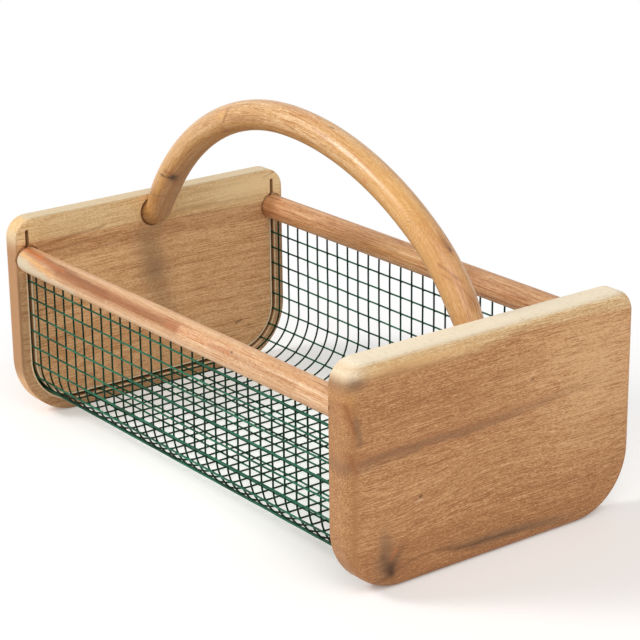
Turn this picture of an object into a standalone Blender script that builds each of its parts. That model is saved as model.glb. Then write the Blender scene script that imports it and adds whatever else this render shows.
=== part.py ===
"""Garden hod: two wooden end boards, two round rails, a bent handle and a U-shaped wire net.

Metres. X runs along the rails, Y runs across from the front rail to the back rail, and Z is up. The hod
stands on z = 0, with its middle at x = y = 0.
"""

import math

import bmesh
import bpy
from mathutils import Matrix, Vector

# End boards
board_width = 0.2404
board_height = 0.1554
board_thickness = 0.0175
board_spacing = 0.374
board_outer_edge_radius = 0.006
board_inner_edge_radius = 0.001
shoulder_radius = 0.016
foot_radius = 0.0454
corner_steps = 10
outer_edge_steps = 5
inner_edge_steps = 2

# Wire net, and the groove in each board that holds its edge
wire_diameter = 0.00135
net_pitch = 0.0127
net_inset = 0.010
net_stride = 2
net_slide_share = 0.76
groove_depth = 0.007
groove_clearance = 0.00065
groove_end_clearance = 0.0007
groove_head_drop = 0.0084
bend_steps = 3

# Rails
rail_diameter = 0.01905
rail_drop = 0.0308
rail_steps = 40
shoulder_clearance = 0.0003
slot_depth = 0.0076
slot_clearance = 0.00035
slot_end_clearance = 0.0004
tenon_diameter = 0.012
tenon_length = 0.012
tenon_chamfer = 0.0008
socket_clearance = 0.0003
socket_end_clearance = 0.0008

# Handle
handle_diameter = 0.0216
handle_rise = 0.0897
handle_crown_shift = 0.0147
handle_seat_drop = 0.0143
handle_leg_radius = 0.150
handle_leg_angle = math.radians(61.4)
handle_bend_radius = 0.011
handle_foot_angle = math.radians(25)
handle_foot_diameter = 0.019
handle_taper_length = 0.036
handle_foot_reach = 0.0038
handle_foot_depth = 0.0085
handle_foot_chamfer = 0.001
handle_socket_clearance = 0.0009
handle_socket_end_clearance = 0.0006
handle_sides = 28
arch_steps = 14
leg_steps = 6
foot_steps = 5

# How far a cutter runs past the material that it cuts
overrun = 0.002

# Worked out from the sizes above
face_x = board_spacing / 2
net_y = board_width / 2 - net_inset
net_thickness = 2 * wire_diameter
net_corner_radius = foot_radius - net_inset
rail_z = board_height - rail_drop
rail_radius = rail_diameter / 2
slot_top = rail_z - rail_radius + slot_depth
handle_radius = handle_diameter / 2
handle_foot_radius = handle_foot_diameter / 2


def clear_scene():
    for obj in list(bpy.data.objects):
        bpy.data.objects.remove(obj)


def add_material(name, colour, roughness, metallic):
    material = bpy.data.materials.new(name)
    material.use_nodes = True
    shader = material.node_tree.nodes["Principled BSDF"]
    shader.inputs["Base Color"].default_value = (*colour, 1)
    shader.inputs["Roughness"].default_value = roughness
    shader.inputs["Metallic"].default_value = metallic
    return material


def add_object(name, mesh, location, turn, material):
    """A node at its place, turned about Z, smooth except at its real edges."""
    obj = bpy.data.objects.new(name, mesh)
    obj.location = location
    obj.rotation_euler.z = turn
    bpy.context.scene.collection.objects.link(obj)
    mesh.materials.clear()
    mesh.materials.append(material)
    mesh.shade_smooth()
    mesh.set_sharp_from_angle(angle=math.radians(35))
    return obj


def mesh_from(shape, name):
    """A mesh of the bmesh shape, its faces turned outwards."""
    bmesh.ops.recalc_face_normals(shape, faces=shape.faces)
    mesh = bpy.data.meshes.new(name)
    shape.to_mesh(mesh)
    shape.free()
    return mesh


def arc(centre, radius, start, end, steps):
    """Points on an arc, both ends included; angles in degrees."""
    return [
        (centre[0] + radius * math.cos(angle), centre[1] + radius * math.sin(angle))
        for angle in (math.radians(start + (end - start) * i / steps) for i in range(steps + 1))
    ]


def plate(name, outline, start, end):
    """A flat plate in the YZ plane, from x = start to x = end."""
    shape = bmesh.new()
    rings = [[shape.verts.new((x, y, z)) for y, z in outline] for x in (start, end)]
    for ring in rings:
        shape.faces.new(ring)
    for i in range(len(outline)):
        j = (i + 1) % len(outline)
        shape.faces.new((rings[0][i], rings[0][j], rings[1][j], rings[1][i]))
    return mesh_from(shape, name)


def tube(name, rings):
    """A closed skin over rings of points that have the same count, with flat ends."""
    shape = bmesh.new()
    loops = [[shape.verts.new(point) for point in ring] for ring in rings]
    for low, high in zip(loops, loops[1:]):
        for i in range(len(low)):
            j = (i + 1) % len(low)
            shape.faces.new((low[i], low[j], high[j], high[i]))
    shape.faces.new(loops[0])
    shape.faces.new(loops[-1])
    return mesh_from(shape, name)


def turned(name, profile, steps):
    """A piece turned about the X axis from (x, radius) pairs."""
    angles = [2 * math.pi * i / steps for i in range(steps)]
    return tube(name, [[(x, r * math.cos(a), r * math.sin(a)) for a in angles] for x, r in profile])


def cut(mesh, cutters):
    """The mesh with each cutter's mesh cut out of it, one after the other."""
    body = bpy.data.objects.new(mesh.name, mesh)
    helpers = [body]
    bpy.context.scene.collection.objects.link(body)
    for cutter in cutters:
        helper = bpy.data.objects.new(cutter.name, cutter)
        helper.hide_render = True
        helper.display_type = "WIRE"
        bpy.context.scene.collection.objects.link(helper)
        helpers.append(helper)
        modifier = body.modifiers.new(cutter.name, "BOOLEAN")
        modifier.operation = "DIFFERENCE"
        modifier.object = helper
    result = bpy.data.meshes.new_from_object(body.evaluated_get(bpy.context.evaluated_depsgraph_get()))
    for helper in helpers:
        bpy.data.objects.remove(helper)
    result.name = mesh.name
    return result


def u_path(inset, top):
    """The board's outline below z = top, moved in by inset: front wall, bottom and back wall."""
    radius = foot_radius - inset
    middle = board_width / 2 - foot_radius
    front = arc((-middle, foot_radius), radius, 180, 270, corner_steps)
    back = arc((middle, foot_radius), radius, 270, 360, corner_steps)
    side = board_width / 2 - inset
    return [(-side, top), *front, *back, (side, top)]


def groove_outline():
    """The U-shaped groove, with round heads above the rails."""
    half = net_thickness / 2 + groove_clearance
    head = board_height - groove_head_drop - half
    outer = u_path(net_inset - half, head)
    inner = u_path(net_inset + half, head)
    back_head = arc((net_y, head), half, 0, 180, corner_steps)[1:-1]
    front_head = arc((-net_y, head), half, 0, 180, corner_steps)[1:-1]
    return [*outer, *back_head, *reversed(inner), *front_head]


def handle_socket():
    """The slanted blind hole for the handle's foot, measured from the board's inner face."""
    radius = handle_foot_radius + handle_socket_clearance
    depth = handle_foot_depth + handle_socket_end_clearance
    mouth = -(radius * math.sin(handle_foot_angle) + overrun) / math.cos(handle_foot_angle)
    mesh = turned("handle socket", [(mouth, radius), (depth, radius)], handle_sides)
    mesh.transform(Matrix.Rotation(handle_foot_angle, 4, "Y"))
    mesh.transform(Matrix.Translation((0, 0, board_height - handle_seat_drop)))
    return mesh


def rail_socket(side):
    radius = tenon_diameter / 2 + socket_clearance
    profile = [(-overrun, radius), (tenon_length + socket_end_clearance, radius)]
    mesh = turned("rail socket", profile, rail_steps)
    mesh.transform(Matrix.Translation((0, side * net_y, rail_z)))
    return mesh


def board_outline(inset):
    """The board's outline, moved in by inset."""
    foot_y = board_width / 2 - foot_radius
    shoulder_y = board_width / 2 - shoulder_radius
    shoulder_z = board_height - shoulder_radius
    foot = foot_radius - inset
    shoulder = shoulder_radius - inset
    return [
        *arc((foot_y, foot_radius), foot, 270, 360, corner_steps),
        *arc((shoulder_y, shoulder_z), shoulder, 0, 90, corner_steps),
        *arc((-shoulder_y, shoulder_z), shoulder, 90, 180, corner_steps),
        *arc((-foot_y, foot_radius), foot, 180, 270, corner_steps),
    ]


def rounded_edge(radius, steps):
    """(depth below the face, inset from the side) over a rounded edge, from the face to the side."""
    angles = [math.pi / 2 * i / steps for i in range(steps + 1)]
    return [(radius * (1 - math.cos(a)), radius * (1 - math.sin(a))) for a in angles]


def end_board_mesh():
    """The board, its inner face at x = 0 and its outer face at x = board_thickness."""
    inner = rounded_edge(board_inner_edge_radius, inner_edge_steps)
    outer = rounded_edge(board_outer_edge_radius, outer_edge_steps)
    sections = inner + [(board_thickness - depth, inset) for depth, inset in reversed(outer)]
    blank = tube("end board", [[(x, y, z) for y, z in board_outline(inset)] for x, inset in sections])
    groove = plate("groove", groove_outline(), -overrun, groove_depth)
    return cut(blank, [groove, rail_socket(-1), rail_socket(1), handle_socket()])


def rail_mesh():
    """A rail with a round tenon at each end. The net's slot runs along its underside, tenons included."""
    shoulder = face_x - shoulder_clearance
    end = face_x + tenon_length
    tenon = tenon_diameter / 2
    half_profile = [
        (end, tenon - tenon_chamfer),
        (end - tenon_chamfer, tenon),
        (shoulder, tenon),
        (shoulder, rail_radius),
    ]
    profile = [(-x, r) for x, r in half_profile] + list(reversed(half_profile))
    half_slot = net_thickness / 2 + slot_clearance
    low = -rail_radius - overrun
    high = slot_depth - rail_radius
    slot_outline = [(-half_slot, low), (half_slot, low), (half_slot, high), (-half_slot, high)]
    slot = plate("slot", slot_outline, -end - overrun, end + overrun)
    return cut(turned("rail", profile, rail_steps), [slot])


def handle_arcs(span, legged):
    """The arcs from the crown down to one foot: (out, z) of the centre, radius, start and end angle, steps.

    span is how far out from the crown the board's inner face lies. Each arc runs smoothly into the next, and
    the last into the straight foot, which reaches a little out of the board. That gives the arch its radius.
    A legged half has a tighter leg between its arch and its bend. The bend curves the other way, so its
    radius counts as negative.
    """
    slope = handle_foot_angle
    bend = handle_bend_radius
    seat_z = board_height - handle_seat_drop
    crown_z = board_height + handle_rise
    bend_out = span - handle_foot_reach * math.cos(slope) + bend * math.sin(slope)
    bend_z = seat_z + handle_foot_reach * math.sin(slope) + bend * math.cos(slope)
    if not legged:
        drop = crown_z - bend_z
        arch = (bend_out**2 + drop**2 - bend**2) / (2 * (bend + drop))
        steepest = math.pi / 2 - math.atan2(arch - drop, bend_out)
        return [
            ((0, crown_z - arch), arch, 0, steepest, arch_steps),
            ((bend_out, bend_z), -bend, steepest, slope, foot_steps),
        ]
    leg = handle_leg_radius
    steepest = handle_leg_angle
    wide = bend_out - (bend + leg) * math.sin(steepest)
    deep = crown_z - bend_z + (bend + leg) * math.cos(steepest) - leg
    turn = 2 * math.atan2(deep, wide)
    apart = wide / math.sin(turn)
    arch_z = crown_z - leg - apart
    return [
        ((0, arch_z), leg + apart, 0, turn, arch_steps),
        ((wide, arch_z + apart * math.cos(turn)), leg, turn, steepest, leg_steps),
        ((bend_out, bend_z), -bend, steepest, slope, foot_steps),
    ]


def handle_half(span, legged):
    """(out, z, slope, radius) from the crown down to one foot. The rod is slimmer near its foot."""
    seat_z = board_height - handle_seat_drop
    arcs = handle_arcs(span, legged)
    left_over = handle_foot_reach + sum(abs(radius * (end - start)) for _, radius, start, end, _ in arcs)

    def radius_at(distance):
        """The rod's radius at a distance from the board's face, measured along the rod."""
        share = min(1, max(0, distance / handle_taper_length))
        return handle_foot_radius + (handle_radius - handle_foot_radius) * share

    line = [(0, board_height + handle_rise, 0, radius_at(left_over))]
    for (out, z), radius, start, end, steps in arcs:
        for i in range(1, steps + 1):
            angle = start + (end - start) * i / steps
            left_over -= abs(radius * (end - start)) / steps
            at = (out + radius * math.sin(angle), z + radius * math.cos(angle))
            line.append((*at, angle, radius_at(left_over)))
    slope = handle_foot_angle
    foot_out = span + handle_foot_depth * math.cos(slope)
    foot_z = seat_z - handle_foot_depth * math.sin(slope)
    line.append((foot_out, foot_z, slope, handle_foot_radius))
    return line


def handle_centreline():
    """(x, z, slope, radius) from the left foot over the crown to the right foot."""
    crown_x = -handle_crown_shift
    left_half = handle_half(face_x + crown_x, False)
    right_half = handle_half(face_x - crown_x, True)
    left = [(crown_x - out, z, -slope, radius) for out, z, slope, radius in left_half]
    right = [(crown_x + out, z, slope, radius) for out, z, slope, radius in right_half]
    return [*reversed(left[1:]), *right]


def handle_mesh():
    """The bent rod, with a small chamfer at each foot."""
    turns = [2 * math.pi * i / handle_sides for i in range(handle_sides)]

    def ring(point, forward=0, slimmer=0):
        """A ring square to the line, at a point of it or further forward."""
        x, z, slope, radius = point
        up = Vector((math.sin(slope), 0, math.cos(slope)))
        ahead = Vector((math.cos(slope), 0, -math.sin(slope)))
        middle = Vector((x, 0, z)) + ahead * forward
        across = Vector((0, 1, 0))
        return [middle + (up * math.cos(a) + across * math.sin(a)) * (radius - slimmer) for a in turns]

    line = handle_centreline()
    chamfer = handle_foot_chamfer
    rings = [ring(line[0], slimmer=chamfer), ring(line[0], forward=chamfer)]
    rings += [ring(point) for point in line[1:-1]]
    rings += [ring(line[-1], forward=-chamfer), ring(line[-1], slimmer=chamfer)]
    return tube("handle", rings)


def bands(length, first, pitch, count, longest):
    """Stations across count wires of a row that starts at first: (start, end, on a wire)."""
    result = []
    at = 0
    for i in range(count + 1):
        centre = first + pitch * i
        start = length if i == count else centre - wire_diameter / 2
        steps = max(1, math.ceil((start - at) / longest(at, start)))
        for k in range(steps):
            result.append((at + (start - at) * k / steps, at + (start - at) * (k + 1) / steps, False))
        at = start
        if i < count:
            at = centre + wire_diameter / 2
            result.append((start, at, True))
    return result


def net_mesh():
    """The net as one body: every net_stride-th wire each way, bent along the groove's U."""
    pitch = net_pitch * net_stride
    quarter = net_corner_radius * math.pi / 2
    flat = board_width - 2 * foot_radius
    wall_top = slot_top - slot_end_clearance
    walls = 2 * (wall_top - foot_radius)
    longest_length = walls + 2 * quarter + flat
    half_width = face_x + groove_depth - groove_end_clearance
    rows = int((longest_length - wire_diameter) / pitch) + 1
    wires = int((2 * half_width - wire_diameter) / pitch) + 1
    spare = longest_length - pitch * (rows - 1) - wire_diameter
    front_row = wire_diameter / 2 + spare / 2 * (1 - net_slide_share)
    wall = walls / 2

    def place(along, offset):
        """(y, z) at a distance along the U from its front edge, offset to its outer side."""
        if along < wall:
            return -net_y - offset, wall_top - along
        if along < wall + quarter:
            turn = (along - wall) / net_corner_radius
            radius = net_corner_radius + offset
            middle = board_width / 2 - foot_radius
            return -middle - radius * math.cos(turn), foot_radius - radius * math.sin(turn)
        if along <= longest_length / 2:
            return along - longest_length / 2, net_inset - offset
        y, z = place(longest_length - along, offset)
        return -y, z

    def straight(start, end):
        return end - start

    def bent(start, end):
        in_bend = [start < low + quarter and end > low for low in (wall, wall + quarter + flat)]
        return pitch / bend_steps if any(in_bend) else end - start

    across = bands(2 * half_width, half_width - pitch * (wires - 1) / 2, pitch, wires, straight)
    along = bands(longest_length, front_row, pitch, rows, bent)
    xs = [start - half_width for start, _, _ in across] + [half_width]
    ss = [start for start, _, _ in along] + [longest_length]
    shape = bmesh.new()
    corners = {}

    def corner(i, j, side):
        if (i, j, side) not in corners:
            corners[i, j, side] = shape.verts.new((xs[i], *place(ss[j], side * net_thickness / 2)))
        return corners[i, j, side]

    def solid(i, j):
        return 0 <= i < len(across) and 0 <= j < len(along) and (across[i][2] or along[j][2])

    for i in range(len(across)):
        for j in range(len(along)):
            if not solid(i, j):
                continue
            square = ((i, j), (i + 1, j), (i + 1, j + 1), (i, j + 1))
            for side in (-1, 1):
                shape.faces.new([corner(*knot, side) for knot in square])
            beyond = ((i, j - 1), (i + 1, j), (i, j + 1), (i - 1, j))
            for k in range(len(square)):
                if not solid(*beyond[k]):
                    a, b = square[k], square[(k + 1) % len(square)]
                    shape.faces.new([corner(*a, -1), corner(*b, -1), corner(*b, 1), corner(*a, 1)])
    return mesh_from(shape, "wire net")


def main():
    clear_scene()
    board_wood = add_material("board_wood", (0.45, 0.27, 0.14), 0.55, 0)
    rail_wood = add_material("rail_wood", (0.55, 0.31, 0.17), 0.5, 0)
    handle_wood = add_material("handle_wood", (0.58, 0.34, 0.15), 0.45, 0)
    green_coating = add_material("green_coating", (0.01, 0.13, 0.07), 0.4, 0)
    board = end_board_mesh()
    add_object("left_end_board", board, (-face_x, 0, 0), math.pi, board_wood)
    add_object("right_end_board", board, (face_x, 0, 0), 0, board_wood)
    rail = rail_mesh()
    add_object("front_rail", rail, (0, -net_y, rail_z), 0, rail_wood)
    add_object("back_rail", rail, (0, net_y, rail_z), 0, rail_wood)
    add_object("handle", handle_mesh(), (0, 0, 0), 0, handle_wood)
    add_object("wire_net", net_mesh(), (0, 0, 0), 0, green_coating)


main()
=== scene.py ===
"""Garden hod, dressed: end boards, rails and handle in oiled wood, and a green coated wire net.

Metres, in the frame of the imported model. Grain and wood marks are given in millimetres.
"""

import math
from types import SimpleNamespace

import bpy
from mathutils import Matrix, Vector, noise


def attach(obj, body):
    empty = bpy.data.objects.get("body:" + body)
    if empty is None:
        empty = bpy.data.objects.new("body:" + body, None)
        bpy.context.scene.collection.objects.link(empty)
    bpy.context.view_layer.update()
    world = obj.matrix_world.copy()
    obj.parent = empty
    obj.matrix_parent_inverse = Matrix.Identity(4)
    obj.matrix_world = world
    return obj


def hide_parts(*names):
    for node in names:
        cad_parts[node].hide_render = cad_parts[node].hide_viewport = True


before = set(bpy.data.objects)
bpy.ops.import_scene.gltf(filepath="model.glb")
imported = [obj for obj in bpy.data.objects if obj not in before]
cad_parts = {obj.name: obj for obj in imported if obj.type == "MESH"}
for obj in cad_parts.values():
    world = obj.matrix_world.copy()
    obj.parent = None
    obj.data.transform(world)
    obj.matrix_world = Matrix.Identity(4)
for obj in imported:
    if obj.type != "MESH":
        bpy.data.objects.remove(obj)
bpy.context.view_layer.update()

# Sizes, as in the part's source
board_width = 0.2404
board_height = 0.1554
board_thickness = 0.0175
board_spacing = 0.374
board_outer_edge_radius = 0.006
board_inner_edge_radius = 0.001
shoulder_radius = 0.016
foot_radius = 0.0454

wire_diameter = 0.00135
net_pitch = 0.0127
net_inset = 0.010
net_slide_share = 0.76
groove_depth = 0.007
groove_end_clearance = 0.0007
groove_head_drop = 0.0084

rail_diameter = 0.01905
rail_drop = 0.0308
shoulder_clearance = 0.0003
slot_depth = 0.0076
slot_clearance = 0.00035
slot_end_clearance = 0.0004
tenon_diameter = 0.012
tenon_length = 0.012
tenon_chamfer = 0.0008
socket_clearance = 0.0003
socket_end_clearance = 0.0008

handle_diameter = 0.0216
handle_rise = 0.0897
handle_crown_shift = 0.0147
handle_seat_drop = 0.0143
handle_leg_radius = 0.150
handle_leg_angle = math.radians(61.4)
handle_bend_radius = 0.011
handle_foot_angle = math.radians(25)
handle_foot_diameter = 0.019
handle_taper_length = 0.036
handle_foot_reach = 0.0038
handle_foot_depth = 0.0085
handle_foot_chamfer = 0.001
handle_socket_end_clearance = 0.0006
overrun = 0.002

face_x = board_spacing / 2
net_y = board_width / 2 - net_inset
net_thickness = 2 * wire_diameter
net_corner_radius = foot_radius - net_inset
foot_y = board_width / 2 - foot_radius
rail_z = board_height - rail_drop
rail_radius = rail_diameter / 2
slot_top = rail_z - rail_radius + slot_depth
seat_z = board_height - handle_seat_drop
crown_z = board_height + handle_rise
handle_radius = handle_diameter / 2
handle_foot_radius = handle_foot_diameter / 2

# The net's lengths: wall, quarter bend, floor and the whole way round its U, then half its width
net_top = slot_top - slot_end_clearance
net_wall = net_top - foot_radius
net_quarter = net_corner_radius * math.pi / 2
net_flat = board_width - 2 * foot_radius
net_length = 2 * (net_wall + net_quarter) + net_flat
net_half_width = face_x + groove_depth - groove_end_clearance

# The cuts as the eye sees them: a tight groove, a shadow line round each rail, a loose handle hole
groove_clearance = 0.00015
rail_recess_gap = 0.0006
rail_recess_depth = 0.0018
rail_recess_lift = 0.0008
handle_hole_radius = 0.0099
handle_hole_width = 1.10
handle_hole_shift = 0.0010

# Small wear and irregularity
rail_edge_ease = 0.0004
handle_wear, handle_wear_rate = 0.010, 22
wire_sunk_share = 0.42
wire_end_share = 0.72
wander_size = 0.00042
wander_rates = (44, 21)
sideways_seed, sideways_share = 1.5, 0.35
upward_seed, upward_share = 7.5, 0.6
bent_seed = 3.5
bead_radius = wire_diameter * 0.62
bead_flat, bead_wide = bead_radius * 0.9, bead_radius * 1.25

# How finely the pieces are drawn
corner_steps = 20
outer_edge_steps = 9
inner_edge_steps = 3
rail_sides = 72
rail_stations = 24
handle_sides = 64
arch_steps = 60
leg_steps = 26
foot_steps = 12
wire_sides = 8
wire_step = 0.0036
bead_rings, bead_sides = 4, 8

millimetres = 1000


def add_object(name, data):
    """A new object in the scene, made of a mesh, a camera or a lamp."""
    added = bpy.data.objects.new(name, data)
    bpy.context.scene.collection.objects.link(added)
    return added


# Camera
camera_lens = 122.712
camera_azimuth = math.radians(53.0019)
camera_elevation = math.radians(19.1881)
camera_roll = math.radians(-0.6574)
camera_target = Vector((-0.20157, 0.16763, 0.0127))
camera_distance = 1.80308
camera_reach = 60


def add_camera():
    """The camera at the photograph's angle, looking at its target from camera_distance."""
    flat = math.cos(camera_elevation)
    out = Vector((
        math.sin(camera_azimuth) * flat,
        -math.cos(camera_azimuth) * flat,
        math.sin(camera_elevation),
    ))
    level = Vector((math.cos(camera_azimuth), math.sin(camera_azimuth), 0))
    upright = out.cross(level)
    right = level * math.cos(camera_roll) + upright * math.sin(camera_roll)
    up = upright * math.cos(camera_roll) - level * math.sin(camera_roll)
    camera = add_object("camera", bpy.data.cameras.new("camera"))
    camera.data.lens = camera_lens
    camera.data.clip_end = camera_reach
    camera.matrix_world = (
        Matrix.Translation(camera_target + out * camera_distance)
        @ Matrix((right, up, out)).transposed().to_4x4()
    )
    bpy.context.scene.camera = camera


# Meshes
def arc(centre, radius, start, end, steps):
    """Points on an arc, both ends included; angles in degrees."""
    return [
        (centre[0] + radius * math.cos(angle), centre[1] + radius * math.sin(angle))
        for angle in (math.radians(start + (end - start) * i / steps) for i in range(steps + 1))
    ]


def turns(count):
    """The cosine and sine of each of a circle's equal steps."""
    angles = [2 * math.pi * i / count for i in range(count)]
    return [(math.cos(a), math.sin(a)) for a in angles]


def mesh_of(name, points, faces):
    mesh = bpy.data.meshes.new(name)
    mesh.from_pydata(points, [], faces)
    mesh.validate()
    mesh.update()
    return mesh


def skin(name, *bodies):
    """A closed skin with flat ends for each body, given as rings with the same count of points."""
    points, faces = [], []
    for rings in bodies:
        count, first = len(rings[0]), len(points)
        points += [point for ring in rings for point in ring]
        last = len(points) - count
        faces.append(tuple(reversed(range(first, first + count))))
        for low in range(first, last, count):
            for i in range(count):
                j = (i + 1) % count
                faces.append((low + i, low + j, low + count + j, low + count + i))
        faces.append(tuple(range(last, last + count)))
    return mesh_of(name, points, faces)


def plate(name, outline, start, end):
    """A flat plate in the YZ plane, from x = start to x = end."""
    return skin(name, [[(x, y, z) for y, z in outline] for x in (start, end)])


def turned(name, profile, sides):
    """A piece turned about the X axis from (x, radius) pairs."""
    return skin(name, [[(x, r * c, r * s) for c, s in turns(sides)] for x, r in profile])


def cut(mesh, cutters):
    """The mesh with each cutter's mesh cut out of it, one after the other."""
    body = add_object(mesh.name, mesh)
    helpers = [body]
    for cutter in cutters:
        helper = add_object(cutter.name, cutter)
        helpers.append(helper)
        modifier = body.modifiers.new(cutter.name, "BOOLEAN")
        modifier.operation = "DIFFERENCE"
        modifier.object = helper
    result = bpy.data.meshes.new_from_object(body.evaluated_get(bpy.context.evaluated_depsgraph_get()))
    for helper in helpers:
        bpy.data.objects.remove(helper)
    result.name = mesh.name
    return result


def board_outline(inset):
    """The end board's outline, moved in by inset."""
    shoulder_y = board_width / 2 - shoulder_radius
    shoulder_z = board_height - shoulder_radius
    foot, shoulder = foot_radius - inset, shoulder_radius - inset
    return [
        *arc((foot_y, foot_radius), foot, 270, 360, corner_steps),
        *arc((shoulder_y, shoulder_z), shoulder, 0, 90, corner_steps),
        *arc((-shoulder_y, shoulder_z), shoulder, 90, 180, corner_steps),
        *arc((-foot_y, foot_radius), foot, 180, 270, corner_steps),
    ]


def u_path(inset, top):
    """The board's outline below z = top, moved in by inset: front wall, bottom and back wall."""
    radius = foot_radius - inset
    front = arc((-foot_y, foot_radius), radius, 180, 270, corner_steps)
    back = arc((foot_y, foot_radius), radius, 270, 360, corner_steps)
    side = board_width / 2 - inset
    return [(-side, top), *front, *back, (side, top)]


def groove_outline():
    """The U-shaped groove, with round heads above the rails."""
    half = net_thickness / 2 + groove_clearance
    head = board_height - groove_head_drop - half
    outer = u_path(net_inset - half, head)
    inner = u_path(net_inset + half, head)
    back_head = arc((net_y, head), half, 0, 180, corner_steps)[1:-1]
    front_head = arc((-net_y, head), half, 0, 180, corner_steps)[1:-1]
    return [*outer, *back_head, *reversed(inner), *front_head]


def handle_socket():
    """The slanted blind hole for the handle's foot, a little wide. The board's inner face is at x = 0."""
    depth = handle_foot_depth + handle_socket_end_clearance
    mouth = -(handle_hole_radius * math.sin(handle_foot_angle) + overrun) / math.cos(handle_foot_angle)
    mesh = turned("handle socket", [(mouth, handle_hole_radius), (depth, handle_hole_radius)], handle_sides)
    wider = Matrix.Diagonal((1, handle_hole_width, 1, 1))
    mesh.transform(Matrix.Rotation(handle_foot_angle, 4, "Y") @ wider)
    return mesh


def round_hole(name, radius, depth):
    """A straight round hole into the board's inner face."""
    return turned(name, [(-overrun, radius), (depth, radius)], rail_sides)


def moved(mesh, place):
    mesh.transform(Matrix.Translation(place))
    return mesh


def rounded_edge(radius, steps):
    """(depth below the face, inset from the side) over a rounded edge, from the face to the side."""
    angles = [math.pi / 2 * i / steps for i in range(steps + 1)]
    return [(radius * (1 - math.cos(a)), radius * (1 - math.sin(a))) for a in angles]


def end_board_mesh(front):
    """The board, its inner face at x = 0 and its outer face at x = board_thickness.

    front is -1 or 1, the side in y that the handle's hole is a little loose on. The shallow recess that
    each rail's shoulder sits in shows as a dark line above the rail.
    """
    inner = rounded_edge(board_inner_edge_radius, inner_edge_steps)
    outer = rounded_edge(board_outer_edge_radius, outer_edge_steps)
    sections = inner + [(board_thickness - depth, inset) for depth, inset in reversed(outer)]
    blank = skin("end board", [[(x, y, z) for y, z in board_outline(inset)] for x, inset in sections])
    groove = plate("groove", groove_outline(), -overrun, groove_depth)
    cutters = [groove, moved(handle_socket(), (0, front * handle_hole_shift, seat_z))]
    socket_depth = tenon_length + socket_end_clearance
    for y in (-net_y, net_y):
        socket = round_hole("rail socket", tenon_diameter / 2 + socket_clearance, socket_depth)
        recess = round_hole("rail recess", rail_radius + rail_recess_gap, rail_recess_depth)
        cutters.append(moved(socket, (0, y, rail_z)))
        cutters.append(moved(recess, (0, y, rail_z + rail_recess_lift)))
    return cut(blank, cutters)


def rail_mesh():
    """A rail with a round tenon at each end. The net's slot runs along its underside, tenons included."""
    shoulder = face_x - shoulder_clearance
    end = face_x + tenon_length
    tenon = tenon_diameter / 2
    part_eased = 0.3 * rail_edge_ease
    half_profile = [
        (end, tenon - tenon_chamfer),
        (end - tenon_chamfer, tenon),
        (shoulder, tenon),
        (shoulder, rail_radius - rail_edge_ease),
        (shoulder - part_eased, rail_radius - part_eased),
        (shoulder - rail_edge_ease, rail_radius),
    ]
    run = shoulder - rail_edge_ease
    body = [(-run + 2 * run * i / rail_stations, rail_radius) for i in range(1, rail_stations)]
    profile = [(-x, r) for x, r in half_profile] + body + list(reversed(half_profile))
    half_slot = net_thickness / 2 + slot_clearance
    low = -rail_radius - overrun
    high = slot_depth - rail_radius
    slot_outline = [(-half_slot, low), (half_slot, low), (half_slot, high), (-half_slot, high)]
    slot = plate("slot", slot_outline, -end - overrun, end + overrun)
    return cut(turned("rail", profile, rail_sides), [slot])


def handle_arcs(span, legged):
    """The arcs from crown to foot: (out, z) of the centre, radius, start and end angle, steps."""
    slope = handle_foot_angle
    bend = handle_bend_radius
    bend_out = span - handle_foot_reach * math.cos(slope) + bend * math.sin(slope)
    bend_z = seat_z + handle_foot_reach * math.sin(slope) + bend * math.cos(slope)
    if not legged:
        drop = crown_z - bend_z
        arch = (bend_out**2 + drop**2 - bend**2) / (2 * (bend + drop))
        steepest = math.pi / 2 - math.atan2(arch - drop, bend_out)
        return [
            ((0, crown_z - arch), arch, 0, steepest, arch_steps + leg_steps),
            ((bend_out, bend_z), -bend, steepest, slope, foot_steps),
        ]
    leg = handle_leg_radius
    steepest = handle_leg_angle
    wide = bend_out - (bend + leg) * math.sin(steepest)
    deep = crown_z - bend_z + (bend + leg) * math.cos(steepest) - leg
    turn = 2 * math.atan2(deep, wide)
    apart = wide / math.sin(turn)
    arch_z = crown_z - leg - apart
    return [
        ((0, arch_z), leg + apart, 0, turn, arch_steps),
        ((wide, arch_z + apart * math.cos(turn)), leg, turn, steepest, leg_steps),
        ((bend_out, bend_z), -bend, steepest, slope, foot_steps),
    ]


def handle_half(span, legged):
    """(out, z, slope, radius, distance) from the crown down to one foot."""
    arcs = handle_arcs(span, legged)
    whole = handle_foot_reach + sum(abs(radius * (end - start)) for _, radius, start, end, _ in arcs)

    def radius_at(distance):
        """The rod's radius at a distance from the crown, slimmer near the foot."""
        share = min(1, max(0, (whole - distance) / handle_taper_length))
        share = share * share * (3 - 2 * share)
        return handle_foot_radius + (handle_radius - handle_foot_radius) * share

    distance = 0
    line = [(0, crown_z, 0, radius_at(0), 0)]
    for (out, z), radius, start, end, steps in arcs:
        for i in range(1, steps + 1):
            angle = start + (end - start) * i / steps
            distance += abs(radius * (end - start)) / steps
            at = (out + radius * math.sin(angle), z + radius * math.cos(angle))
            line.append((*at, angle, radius_at(distance), distance))
    slope = handle_foot_angle
    foot_out = span + handle_foot_depth * math.cos(slope)
    foot_z = seat_z - handle_foot_depth * math.sin(slope)
    line.append((foot_out, foot_z, slope, handle_foot_radius, whole + handle_foot_depth))
    return line


def handle_centreline():
    """(x, z, slope, radius, distance) from the left foot over the crown to the right foot."""
    crown_x = -handle_crown_shift
    left = [(crown_x - out, z, -slope, radius, -distance)
            for out, z, slope, radius, distance in handle_half(face_x + crown_x, False)]
    right = [(crown_x + out, z, slope, radius, distance)
             for out, z, slope, radius, distance in handle_half(face_x - crown_x, True)]
    return [*reversed(left[1:]), *right]


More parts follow.
